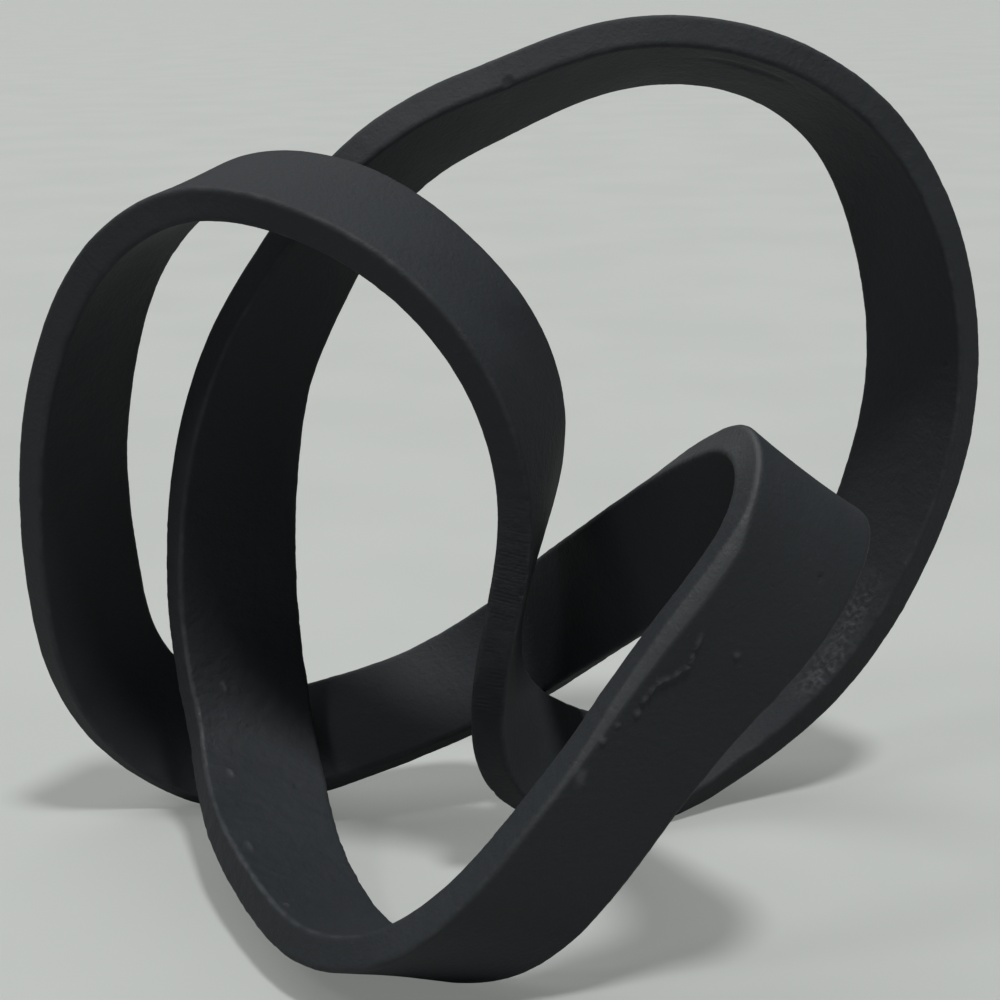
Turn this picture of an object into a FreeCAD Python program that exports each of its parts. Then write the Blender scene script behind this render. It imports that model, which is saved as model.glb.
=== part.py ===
import FreeCAD, Part
import Sketcher
import math
import os

# A free-standing knot of flat metal ribbon. The ribbon closes on itself with a half turn in it.
# It is cast as short lengths. Each end steps in to a tongue, the tongues of two neighbours meet
# face to face, and a ring of dressed weld metal fills the step around them.
# Millimetres, Z up. The origin is on the table, under the middle of the outline.

SIZES = [
    ("path_width", 182.8, "left to right, box around the middle line of the ribbon"),
    ("path_depth", 104.0, "front to back, box around the middle line"),
    ("path_height", 160.3, "bottom to top, box around the middle line"),
    ("ribbon_width", 26.0, "broad side of the ribbon"),
    ("ribbon_thickness", 6.8, "thin side of the ribbon"),
    ("edge_radius", 1.2, "rounding of the four long edges"),
    ("rebate_depth", 1.5, "how far each end steps in on every side"),
    ("rebate_length", 1.6, "length of the tongue at each end"),
    ("seam_crown", 0.2, "how far a dressed seam stands proud of the ribbon"),
    ("foot_flat_depth", 0.5, "metal taken off each foot to make it stand flat"),
    ("weld_gap", 0.6, "gap between two strands that are welded where they cross"),
    ("passing_gap", 2.4, "gap between the crown and the strand that passes behind it"),
    ("curl_weld_radius", 4.2, "fillet weld between the curl and the back leg"),
    ("crossing_weld_radius", 4.4, "fillet weld between the middle strand and the back strand"),
]

# The path of the ribbon, read off the photograph by hand. Each place has its left-right, front-back
# and up-down position as a share of the path's box, then two angles in degrees that say where the
# broad side points (swing away from straight back, lift above the horizontal), then the broad
# side's width as a share of the ribbon's.
PATH_SHARES = [
    (-0.3534, +0.4615, 0.0268, 38, 42, 1.00),
    (-0.4573, +0.4327, 0.1104, 40, 28, 1.00),
    (-0.5000, +0.3558, 0.2851, 40, 14, 1.00),
    (-0.4956, +0.2788, 0.4785, 34, 8, 1.00),
    (-0.4579, +0.2019, 0.6575, 29, 3, 0.98),
    (-0.3999, +0.1346, 0.7760, 21, 1, 0.96),
    (-0.3036, +0.0769, 0.8478, 19, 9, 0.97),
    (-0.1811, +0.0288, 0.8353, 24, 17, 0.93),
    (-0.0804, -0.0192, 0.7679, 24, 16, 0.93),
    (-0.0071, -0.0385, 0.6687, 25, 15, 0.94),
    (+0.0274, +0.0000, 0.5221, 18, 13, 1.00),
    (+0.0114, +0.0385, 0.3825, 10, 13, 1.00),
    (-0.0082, +0.0750, 0.2531, 9, 20, 1.00),
    (+0.0026, +0.1404, 0.1445, 10, 36, 1.00),
    (+0.0586, +0.2365, 0.0698, 5, 46, 1.00),
    (+0.1460, +0.3462, 0.0279, -10, 38, 1.00),
    (+0.2374, +0.4327, 0.0455, -20, 24, 1.00),
    (+0.3632, +0.4808, 0.1478, -25, 15, 1.00),
    (+0.4513, +0.5000, 0.3163, -32, 8, 1.05),
    (+0.5000, +0.5000, 0.5533, -39, 0, 1.02),
    (+0.4628, +0.4904, 0.7854, -32, -10, 1.01),
    (+0.3933, +0.4808, 0.9120, -20, -14, 0.98),
    (+0.2566, +0.4519, 0.9944, -10, -18, 0.95),
    (+0.1472, +0.4327, 1.0000, -6, -23, 0.95),
    (+0.0651, +0.4038, 0.9775, -2, -26, 0.95),
    (-0.0126, +0.3750, 0.9401, 0, -29, 0.94),
    (-0.0848, +0.3365, 0.9014, 4, -32, 0.94),
    (-0.1614, +0.2981, 0.8316, 15, -32, 0.96),
    (-0.2276, +0.2885, 0.7280, 30, -27, 0.99),
    (-0.2795, +0.2837, 0.6132, 41, -18, 1.03),
    (-0.3074, +0.2904, 0.4941, 48, -10, 1.07),
    (-0.3207, +0.3087, 0.3509, 53, -6, 1.09),
    (-0.3190, +0.3163, 0.2251, 54, -5, 1.09),
    (-0.3017, +0.2606, 0.1152, 56, -6, 1.06),
    (-0.2660, +0.0288, 0.0428, 53, -10, 1.01),
    (-0.2139, -0.2019, 0.0106, 42, -15, 0.97),
    (-0.1554, -0.3606, 0.0000, 33, -21, 1.00),
    (-0.0908, -0.4375, 0.0143, 36, -30, 1.04),
    (-0.0181, -0.4760, 0.0605, 50, -36, 1.04),
    (+0.0531, -0.4904, 0.1522, 62, -33, 0.98),
    (+0.1193, -0.4952, 0.2639, 68, -28, 0.93),
    (+0.1794, -0.5000, 0.3637, 73, -27, 0.96),
    (+0.2309, -0.5000, 0.4423, 73, -28, 1.00),
    (+0.2675, -0.4712, 0.5097, 70, -30, 1.00),
    (+0.2784, -0.4231, 0.5471, 75, -34, 1.00),
    (+0.2719, -0.3654, 0.5577, 85, -38, 0.98),
    (+0.2467, -0.2692, 0.5340, 102, -38, 0.98),
    (+0.1980, -0.0865, 0.4610, 117, -42, 0.95),
    (+0.1360, +0.0798, 0.3724, 124, -46, 0.96),
    (+0.0748, +0.2837, 0.2734, 134, -50, 0.97),
    (-0.0004, +0.4058, 0.1804, 148, -52, 0.92),
    (-0.0792, +0.4135, 0.1263, 165, -51, 0.89),
    (-0.1651, +0.3798, 0.0918, 180, -50, 0.89),
    (-0.2484, +0.3731, 0.0627, 194, -49, 0.94),
]

# A place along the path is a row of that table, with decimals: 5.5 is half way from row 5 to row 6.
# Each cast length in its order along the path: its name, the place where it starts, the number of
# its sections, and the seam at its start.
LENGTH_SHARES = [
    ("crown", 5.0, 8, "seam_left_shoulder"),
    ("central_strand", 9.5, 7, "seam_crown_end"),
    ("right_loop_foot", 12.1, 12, "seam_central_lower"),
    ("right_loop_side", 17.6, 10, "seam_right_lower"),
    ("right_loop_top", 21.6, 8, "seam_right_top"),
    ("middle_strand", 25.0, 15, "seam_top_left"),
    ("front_foot", 34.2, 10, "seam_middle_lower"),
    ("front_strand", 40.4, 6, "seam_front_lower"),
    ("hairpin", 43.3, 10, "seam_front_upper"),
    ("back_leg", 47.3, 8, "seam_hairpin_back"),
    ("back_strand", 50.8, 6, "seam_back_leg"),
    ("left_loop_side", 53.4, 14, "seam_left_lower"),
]

# The three stretches of the path that reach down to the table, and the length each one is in.
FOOT_SHARES = [
    ("left_loop_side", 52.8, 55.0),
    ("front_foot", 34.5, 38.5),
    ("right_loop_foot", 13.6, 16.6),
]

# Where two strands pass close by each other: the gap between them, both stretches of the path, and
# the weld that joins them there, with its size, if there is one.
CROSSING_SHARES = [
    ("weld_gap", (12.4, 13.8), (49.4, 50.8), "curl_weld", "curl_weld_radius"),
    ("weld_gap", (32.2, 34.0), (51.8, 53.4), "crossing_weld", "crossing_weld_radius"),
    ("passing_gap", (5.6, 8.2), (26.0, 28.6), None, None),
]

# The two lengths that each weld joins.
WELDED = {
    "curl_weld": ("right_loop_foot", "back_leg"),
    "crossing_weld": ("middle_strand", "back_strand"),
}

# How far along the path a crossing reaches when it is brought to its gap, also in rows.
GIVE_WAY_SHARE = 3.5

STEPS_PER_PLACE = 16
SETTLING_ROUNDS = 6
CLOSING_ROUNDS = 5


def make_sheet(doc):
    """Write every size into the sheet under its own name."""
    sheet = doc.addObject("Spreadsheet::Sheet", "Sizes")
    for row, (name, value, note) in enumerate(SIZES, start=1):
        sheet.set(f"A{row}", name)
        sheet.set(f"B{row}", str(value))
        sheet.set(f"C{row}", note)
        sheet.setAlias(f"B{row}", name)
    doc.recompute()
    return sheet


def side_direction(swing, lift):
    """Unit vector that points along the broad side for a swing and a lift in degrees."""
    swing = math.radians(swing)
    lift = math.radians(lift)
    flat = math.cos(lift)
    return FreeCAD.Vector(flat * math.sin(swing), flat * math.cos(swing), math.sin(lift))


def closed_curve(points, knots):
    """Smooth closed curve through the points, reached at the given knots."""
    curve = Part.BSplineCurve()
    curve.interpolate(Points=points, PeriodicFlag=True, Parameters=knots)
    return curve


class Ribbon:
    """The path of the ribbon, with the frame and the width of its section at every place."""

    def __init__(self, sheet):
        self.sheet = sheet
        self.points = []
        self.sides = []
        for across, back, up, swing, lift, _ in PATH_SHARES:
            self.points.append(
                FreeCAD.Vector(
                    across * sheet.path_width,
                    back * sheet.path_depth,
                    up * sheet.path_height,
                )
            )
            self.sides.append(side_direction(swing, lift))
        self.fit_curves()

    def fit_curves(self):
        """Draw the middle line, the side direction over two laps, and the width share."""
        count = len(self.points)
        knots = [0.0]
        for index in range(count):
            chord = self.points[(index + 1) % count].sub(self.points[index])
            knots.append(knots[-1] + chord.Length)
        self.knots = knots
        self.lap = knots[-1]
        self.middle = closed_curve(self.points, knots)
        second_lap = [self.lap + knot for knot in knots[1:]]
        turned = [side.negative() for side in self.sides]
        self.side = closed_curve(self.sides + turned, knots + second_lap)
        turns = [2 * math.pi * knot / self.lap for knot in knots[:-1]]
        shares = [
            FreeCAD.Vector(row[-1], math.cos(turn), math.sin(turn))
            for row, turn in zip(PATH_SHARES, turns)
        ]
        self.share = closed_curve(shares, knots)

    def distance(self, place):
        """Distance along the path of a place given in rows of the table."""
        count = len(self.points)
        laps, rest = divmod(place, count)
        row = int(rest)
        start, end = self.knots[row], self.knots[row + 1]
        return laps * self.lap + start + (rest - row) * (end - start)

    def width_share(self, distance):
        return self.share.value(distance % self.lap).x

    def frame(self, distance):
        """Point, side, face and run directions at a distance along the path."""
        once = distance % self.lap
        point = self.middle.value(once)
        run = self.middle.tangent(once)[0]
        side = self.side.value(distance % (2 * self.lap))
        side = across_run(side, run)
        face = run.cross(side)
        return point, side, face, run

    def placement(self, distance):
        """Placement of a section: its X is the broad side, its Y the thin side."""
        point, side, face, run = self.frame(distance)
        return FreeCAD.Placement(point, FreeCAD.Rotation(side, face, run, "ZXY"))

    def reach(self, distance, direction):
        """How far the section at a distance reaches along a direction, and from which point."""
        sheet = self.sheet
        point, side, face, _ = self.frame(distance)
        along_side = side.dot(direction)
        along_face = face.dot(direction)
        half_width = sheet.ribbon_width * self.width_share(distance) / 2 - sheet.edge_radius
        half_thickness = sheet.ribbon_thickness / 2 - sheet.edge_radius
        corner = side * math.copysign(half_width, along_side)
        corner = corner.add(face * math.copysign(half_thickness, along_face))
        rounding = sheet.edge_radius * math.hypot(along_side, along_face)
        edge = point.add(corner)
        return edge.dot(direction) + rounding, edge

    def places(self, first, last):
        """Distances in small steps from one place to another."""
        steps = max(2, round((last - first) * STEPS_PER_PLACE))
        start, end = self.distance(first), self.distance(last)
        return [start + (end - start) * step / steps for step in range(steps + 1)]

    def lowest(self, first, last):
        """Lowest point of the ribbon between two places."""
        down = FreeCAD.Vector(0, 0, -1)
        reached = [self.reach(distance, down) for distance in self.places(first, last)]
        depth, edge = max(reached, key=lambda pair: pair[0])
        return FreeCAD.Vector(edge.x, edge.y, -depth)

    def move(self, placement):
        """Move the whole path as one rigid piece."""
        self.points = [placement.multVec(point) for point in self.points]
        self.sides = [placement.Rotation.multVec(side) for side in self.sides]
        self.fit_curves()

    def settle(self):
        """Stand the ribbon on its three feet, each low enough for its flat to be cut."""
        for _ in range(SETTLING_ROUNDS):
            low = [self.lowest(first, last) for _, first, last in FOOT_SHARES]
            upright = low[1].sub(low[0]).cross(low[2].sub(low[0]))
            if upright.z < 0:
                upright = upright.negative()
            turn = FreeCAD.Rotation(upright, FreeCAD.Vector(0, 0, 1))
            self.move(FreeCAD.Placement(FreeCAD.Vector(), turn))
            height = sum(self.lowest(first, last).z for _, first, last in FOOT_SHARES) / len(FOOT_SHARES)
            drop = -height - self.sheet.foot_flat_depth
            self.move(FreeCAD.Placement(FreeCAD.Vector(0, 0, drop), FreeCAD.Rotation()))
        self.centre()

    def centre(self):
        """Bring the middle of the outline over the origin."""
        shift = FreeCAD.Vector()
        for axis in (FreeCAD.Vector(1, 0, 0), FreeCAD.Vector(0, 1, 0)):
            every = self.places(0, len(PATH_SHARES))
            most = max(self.reach(distance, axis)[0] for distance in every)
            least = max(self.reach(distance, axis.negative())[0] for distance in every)
            shift = shift.sub(axis * ((most - least) / 2))
        self.move(FreeCAD.Placement(shift, FreeCAD.Rotation()))

    def outline(self, stretch):
        """Points all around the sections of a stretch of the path."""
        points = []
        for distance in self.places(*stretch):
            point, side, face, _ = self.frame(distance)
            half_width = self.sheet.ribbon_width * self.width_share(distance) / 2
            for across in (-1, -0.75, -0.5, -0.25, 0, 0.25, 0.5, 0.75, 1):
                for through in (-1, 0, 1):
                    corner = point.add(side * (half_width * across))
                    points.append(corner.add(face * (self.sheet.ribbon_thickness / 2 * through)))
        return points

    def clearance(self, stretch, other):
        """Gap from one stretch to another, the way that opens it, and its middle."""
        distances = self.places(*other)
        frames = [
            self.frame(distance) + (self.sheet.ribbon_width * self.width_share(distance) / 2,)
            for distance in distances
        ]
        near = distances[1] - distances[0]
        closest = None
        for point in self.outline(stretch):
            for centre, side, face, run, half_width in frames:
                offset = point.sub(centre)
                if abs(offset.dot(run)) > near:
                    continue
                sides = [(offset.dot(side), half_width, side)]
                sides.append((offset.dot(face), self.sheet.ribbon_thickness / 2, face))
                outside = [(abs(value) - half, value, way) for value, half, way in sides]
                gap, value, way = max(outside, key=lambda entry: entry[0])
                opening = way * math.copysign(1, value)
                if min(entry[0] for entry in outside) > 0:
                    gap = math.hypot(outside[0][0], outside[1][0])
                    opening = FreeCAD.Vector()
                    for length, value, way in outside:
                        opening = opening.add(way * (math.copysign(length, value) / gap))
                if closest is None or gap < closest[0]:
                    closest = (gap, opening, point.sub(opening * (gap / 2)))
        return closest

    def give_way(self, stretch, shift):
        """Move a stretch of the path, and its neighbourhood less and less."""
        count = len(self.points)
        middle = (stretch[0] + stretch[1]) / 2
        for index in range(count):
            away = abs(index - middle) % count
            away = min(away, count - away)
            if away < GIVE_WAY_SHARE:
                share = (1 + math.cos(math.pi * away / GIVE_WAY_SHARE)) / 2
                self.points[index] = self.points[index].add(shift * share)

    def close_crossings(self):
        """Bring strands that cross to the gap between them that the sheet gives."""
        for _ in range(CLOSING_ROUNDS):
            for gap_name, stretch, other, _, _ in CROSSING_SHARES:
                gap, opening, _ = self.clearance(stretch, other)
                shift = opening * ((getattr(self.sheet, gap_name) - gap) / 2)
                self.give_way(stretch, shift)
                self.give_way(other, shift.negative())
                self.fit_curves()


def across_run(side, run):
    """The part of a side direction that is square to the run, made one long."""
    square = side.sub(run * side.dot(run))
    return square.normalize()


def base_plane(body, role):
    """Origin plane of a body by its role."""
    for feature in body.Origin.OriginFeatures:
        if feature.Role == role:
            return feature
    raise ValueError(f"{body.Label} has no {role}")


def section_sketch(body, label, placement):
    """Empty sketch of a body, put across the ribbon."""
    sketch = body.newObject("Sketcher::SketchObject", label)
    sketch.AttachmentSupport = [(base_plane(body, "XY_Plane"), "")]
    sketch.MapMode = "FlatFace"
    sketch.AttachmentOffset = placement
    return sketch


def name_size(sketch, name, constraint, expression):
    """Add a size to a sketch and tie it to the sheet."""
    index = sketch.addConstraint(constraint)
    sketch.renameConstraint(index, name)
    sketch.setExpression(f"Constraints.{name}", expression)


def draw_rectangle(sketch, half_width, half_thickness, width, thickness):
    """Plain rectangle about the sketch's origin."""
    corners = [
        FreeCAD.Vector(-half_width, -half_thickness, 0),
        FreeCAD.Vector(half_width, -half_thickness, 0),
        FreeCAD.Vector(half_width, half_thickness, 0),
        FreeCAD.Vector(-half_width, half_thickness, 0),
    ]
    for index, corner in enumerate(corners):
        sketch.addGeometry(Part.LineSegment(corner, corners[(index + 1) % 4]), False)
    for index in range(4):
        sketch.addConstraint(Sketcher.Constraint("Coincident", index, 2, (index + 1) % 4, 1))
    for index in (0, 2):
        sketch.addConstraint(Sketcher.Constraint("Horizontal", index))
        sketch.addConstraint(Sketcher.Constraint("Vertical", index + 1))
    sketch.addConstraint(Sketcher.Constraint("Symmetric", 0, 1, 2, 1, -1, 1))
    name_size(sketch, "width", Sketcher.Constraint("DistanceX", 0, 1, 0, 2, 2 * half_width), width)
    name_size(
        sketch,
        "thickness",
        Sketcher.Constraint("DistanceY", 1, 1, 1, 2, 2 * half_thickness),
        thickness,
    )


def draw_rounded(sketch, half_width, half_thickness, radius, width, thickness):
    """Rectangle with rounded corners about the sketch's origin."""
    inner_width = half_width - radius
    inner_thickness = half_thickness - radius
    quarter = math.pi / 2
    signs = [(1, -1), (1, 1), (-1, 1), (-1, -1)]
    ends = [
        ((-inner_width, -half_thickness), (inner_width, -half_thickness)),
        ((half_width, -inner_thickness), (half_width, inner_thickness)),
        ((inner_width, half_thickness), (-inner_width, half_thickness)),
        ((-half_width, inner_thickness), (-half_width, -inner_thickness)),
    ]
    upward = FreeCAD.Vector(0, 0, 1)
    for index, (start, end) in enumerate(ends):
        line = Part.LineSegment(FreeCAD.Vector(*start, 0), FreeCAD.Vector(*end, 0))
        sketch.addGeometry(line, False)
        side, face = signs[index]
        centre = FreeCAD.Vector(side * inner_width, face * inner_thickness, 0)
        circle = Part.Circle(centre, upward, radius)
        first = (index - 1) * quarter
        sketch.addGeometry(Part.ArcOfCircle(circle, first, first + quarter), False)
    for index in range(4):
        line, arc, following = 2 * index, 2 * index + 1, (2 * index + 2) % 8
        sketch.addConstraint(Sketcher.Constraint("Tangent", line, 2, arc, 1))
        sketch.addConstraint(Sketcher.Constraint("Tangent", arc, 2, following, 1))
    for index in (0, 4):
        sketch.addConstraint(Sketcher.Constraint("Horizontal", index))
        sketch.addConstraint(Sketcher.Constraint("Vertical", index + 2))
    for arc in (3, 5, 7):
        sketch.addConstraint(Sketcher.Constraint("Equal", 1, arc))
    sketch.addConstraint(Sketcher.Constraint("Symmetric", 1, 3, 5, 3, -1, 1))
    name_size(sketch, "radius", Sketcher.Constraint("Radius", 1, radius), "Sizes.edge_radius")
    name_size(
        sketch,
        "width",
        Sketcher.Constraint("DistanceX", 7, 3, 1, 3, 2 * inner_width),
        f"{width} - 2 * Sizes.edge_radius",
    )
    name_size(
        sketch,
        "thickness",
        Sketcher.Constraint("DistanceY", 1, 3, 3, 3, 2 * inner_thickness),
        f"{thickness} - 2 * Sizes.edge_radius",
    )


class Section:
    """A cross section of the ribbon at one distance along it."""

    def __init__(self, ribbon, distance):
        self.ribbon = ribbon
        self.sheet = ribbon.sheet
        self.placement = ribbon.placement(distance)
        self.share = round(ribbon.width_share(distance), 4)

    def full(self, body, label, proud=False):
        """Sketch of the whole section, or of one that stands proud by the seam's crown."""
        crown = self.sheet.seam_crown if proud else 0.0
        grown = " + 2 * Sizes.seam_crown" if proud else ""
        sketch = section_sketch(body, label, self.placement)
        draw_rounded(
            sketch,
            self.sheet.ribbon_width * self.share / 2 + crown,
            self.sheet.ribbon_thickness / 2 + crown,
            self.sheet.edge_radius,
            f"Sizes.ribbon_width * {self.share}{grown}",
            f"Sizes.ribbon_thickness{grown}",
        )
        return sketch

    def core(self, body, label):
        """Sketch of the tongue's section, stepped in on every side."""
        sketch = section_sketch(body, label, self.placement)
        draw_rectangle(
            sketch,
            self.sheet.ribbon_width * self.share / 2 - self.sheet.rebate_depth,
            self.sheet.ribbon_thickness / 2 - self.sheet.rebate_depth,
            f"Sizes.ribbon_width * {self.share} - 2 * Sizes.rebate_depth",
            "Sizes.ribbon_thickness - 2 * Sizes.rebate_depth",
        )
        return sketch


def loft(body, kind, label, sketches, straight):
    """Additive or subtractive loft through sketches, smooth or straight between them."""
    feature = body.newObject(f"PartDesign::{kind}Loft", label)
    feature.Profile = sketches[0]
    feature.Sections = sketches[1:]
    feature.Ruled = straight
    for sketch in sketches:
        sketch.Visibility = False
    return feature


def cut_foot_flat(doc, body):
    """Take off what reaches below the table, and make sure that something was cut."""
    doc.recompute()
    before = body.Shape.Volume
    box = body.Shape.BoundBox
    sketch = section_sketch(body, f"{body.Label}_flat_sketch", FreeCAD.Placement())
    corners = [
        FreeCAD.Vector(box.XMin, box.YMin, 0),
        FreeCAD.Vector(box.XMax, box.YMin, 0),
        FreeCAD.Vector(box.XMax, box.YMax, 0),
        FreeCAD.Vector(box.XMin, box.YMax, 0),
    ]
    for index, corner in enumerate(corners):
        sketch.addGeometry(Part.LineSegment(corner, corners[(index + 1) % 4]), False)
    for index in range(4):
        sketch.addConstraint(Sketcher.Constraint("Coincident", index, 2, (index + 1) % 4, 1))
    pocket = body.newObject("PartDesign::Pocket", f"{body.Label}_flat")
    pocket.Profile = sketch
    pocket.Type = "Length"
    pocket.setExpression("Length", "Sizes.foot_flat_depth * 4")
    sketch.Visibility = False
    doc.recompute()
    if body.Shape.Volume >= before:
        raise ValueError(f"the flat of {body.Label} cut nothing")


def make_length(doc, ribbon, label, first, last, count):
    """One cast length of ribbon with a tongue at each end."""
    body = doc.addObject("PartDesign::Body", label)
    body.Label = label
    rebate = ribbon.sheet.rebate_length
    start, end = ribbon.distance(first), ribbon.distance(last)
    inner_start, inner_end = start + rebate, end - rebate
    step = (inner_end - inner_start) / (count - 1)
    sections = [Section(ribbon, inner_start + step * index) for index in range(count)]
    sketches = [
        section.full(body, f"{label}_section_{index}") for index, section in enumerate(sections, 1)
    ]
    loft(body, "Additive", f"{label}_ribbon", sketches, straight=False)
    for name, joint, shoulder in (("start", start, inner_start), ("end", end, inner_end)):
        tongue = [
            Section(ribbon, shoulder).core(body, f"{label}_{name}_shoulder"),
            Section(ribbon, joint).core(body, f"{label}_{name}_face"),
        ]
        loft(body, "Additive", f"{label}_{name}_tongue", tongue, straight=True)
    if label in [foot for foot, _, _ in FOOT_SHARES]:
        cut_foot_flat(doc, body)
    return body


def make_seam(doc, ribbon, label, place):
    """The ring of weld metal that fills the step around two tongues."""
    body = doc.addObject("PartDesign::Body", label)
    body.Label = label
    rebate = ribbon.sheet.rebate_length
    joint = ribbon.distance(place)
    before, middle, after = [
        Section(ribbon, joint + rebate * offset) for offset in (-1, 0, 1)
    ]
    outside = [
        before.full(body, f"{label}_before"),
        middle.full(body, f"{label}_crown", proud=True),
        after.full(body, f"{label}_after"),
    ]
    loft(body, "Additive", f"{label}_metal", outside, straight=True)
    inside = [
        before.core(body, f"{label}_core_before"),
        middle.core(body, f"{label}_core_middle"),
        after.core(body, f"{label}_core_after"),
    ]
    loft(body, "Subtractive", f"{label}_core", inside, straight=True)
    return body


def make_crossing_weld(doc, ribbon, crossing, strands):
    """A blob of weld metal around the smallest gap between two strands, cut to fit both."""
    _, stretch, other, label, size = crossing
    gap, opening, middle = ribbon.clearance(stretch, other)
    print(label, "gap", round(gap, 2), "at", [round(value, 1) for value in middle])
    upward = FreeCAD.Vector(0, 0, 1)
    ball = doc.addObject("Part::Sphere", f"{label}_ball")
    ball.setExpression("Radius", f"Sizes.{size}")
    ball.Placement = FreeCAD.Placement(middle, FreeCAD.Rotation(upward, opening))
    weld = ball
    for strand in strands:
        cut = doc.addObject("Part::Cut", f"{label}_cut_by_{strand.Label}")
        cut.Base = weld
        cut.Tool = strand
        weld = cut
    weld.Label = label
    doc.recompute()
    if not 0 < weld.Shape.Volume < ball.Shape.Volume:
        raise ValueError(f"{label} isn't cut to fit its strands")
    return weld


def check_state(doc):
    """Stop if any object of the document is broken."""
    for thing in doc.Objects:
        if {"Invalid", "Error"} & set(thing.State):
            raise ValueError(f"{thing.Label} is {thing.State}")


def write_pieces(pieces):
    """Check and write each piece."""
    for label, piece in pieces.items():
        shape = piece.Shape
        if shape.isNull() or not shape.isValid():
            raise ValueError(f"{label} has a bad shape")
        print(f"{label:20} volume {shape.Volume:9.1f} solids {len(shape.Solids)}")
        shape.exportStep(f"parts/{label}.step")


def main():
    os.makedirs("parts", exist_ok=True)
    doc = FreeCAD.newDocument("knot")
    sheet = make_sheet(doc)
    ribbon = Ribbon(sheet)
    ribbon.close_crossings()
    ribbon.settle()
    pieces = {}
    for index, (label, first, count, seam) in enumerate(LENGTH_SHARES):
        following = LENGTH_SHARES[(index + 1) % len(LENGTH_SHARES)][1]
        if following < first:
            following += len(PATH_SHARES)
        pieces[label] = make_length(doc, ribbon, label, first, following, count)
        pieces[seam] = make_seam(doc, ribbon, seam, first)
    doc.recompute()
    for crossing in CROSSING_SHARES:
        label = crossing[3]
        if label:
            strands = [pieces[name] for name in WELDED[label]]
            pieces[label] = make_crossing_weld(doc, ribbon, crossing, strands)
    doc.recompute()
    check_state(doc)
    write_pieces(pieces)
    whole = Part.makeCompound([piece.Shape for piece in pieces.values()])
    print("pieces", len(pieces), "box", whole.BoundBox)


main()
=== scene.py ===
"""Looks of a free-standing knot of flat cast ribbon, in one shared frame with its solid model.

The ribbon closes on itself with a half turn in it. It is cast in lengths, with a dressed weld seam
between each two, and two fillet welds where strands run into each other. Every length, seam and
weld made here stands for the solid of the same name.
"""

import logging
import math
from dataclasses import dataclass, field
from enum import Enum
from functools import partial, reduce
from typing import Any, ClassVar

import bmesh
import bpy
import numpy as np
from mathutils import Matrix, Vector


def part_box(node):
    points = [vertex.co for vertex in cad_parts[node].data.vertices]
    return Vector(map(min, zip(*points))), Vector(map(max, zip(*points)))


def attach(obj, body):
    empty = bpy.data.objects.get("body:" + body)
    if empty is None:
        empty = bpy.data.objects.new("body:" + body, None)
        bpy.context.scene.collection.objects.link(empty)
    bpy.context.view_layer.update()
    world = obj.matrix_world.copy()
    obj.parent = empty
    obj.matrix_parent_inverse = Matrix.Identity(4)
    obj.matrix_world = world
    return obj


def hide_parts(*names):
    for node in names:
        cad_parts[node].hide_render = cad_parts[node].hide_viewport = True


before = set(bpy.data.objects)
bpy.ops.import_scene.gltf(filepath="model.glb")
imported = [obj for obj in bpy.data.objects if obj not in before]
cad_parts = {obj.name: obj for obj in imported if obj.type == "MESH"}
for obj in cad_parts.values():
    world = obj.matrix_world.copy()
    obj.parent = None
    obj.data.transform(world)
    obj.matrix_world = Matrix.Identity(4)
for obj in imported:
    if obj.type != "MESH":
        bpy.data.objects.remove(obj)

log = logging.getLogger("knot")

MM = 0.001
BODY = "root"

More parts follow.
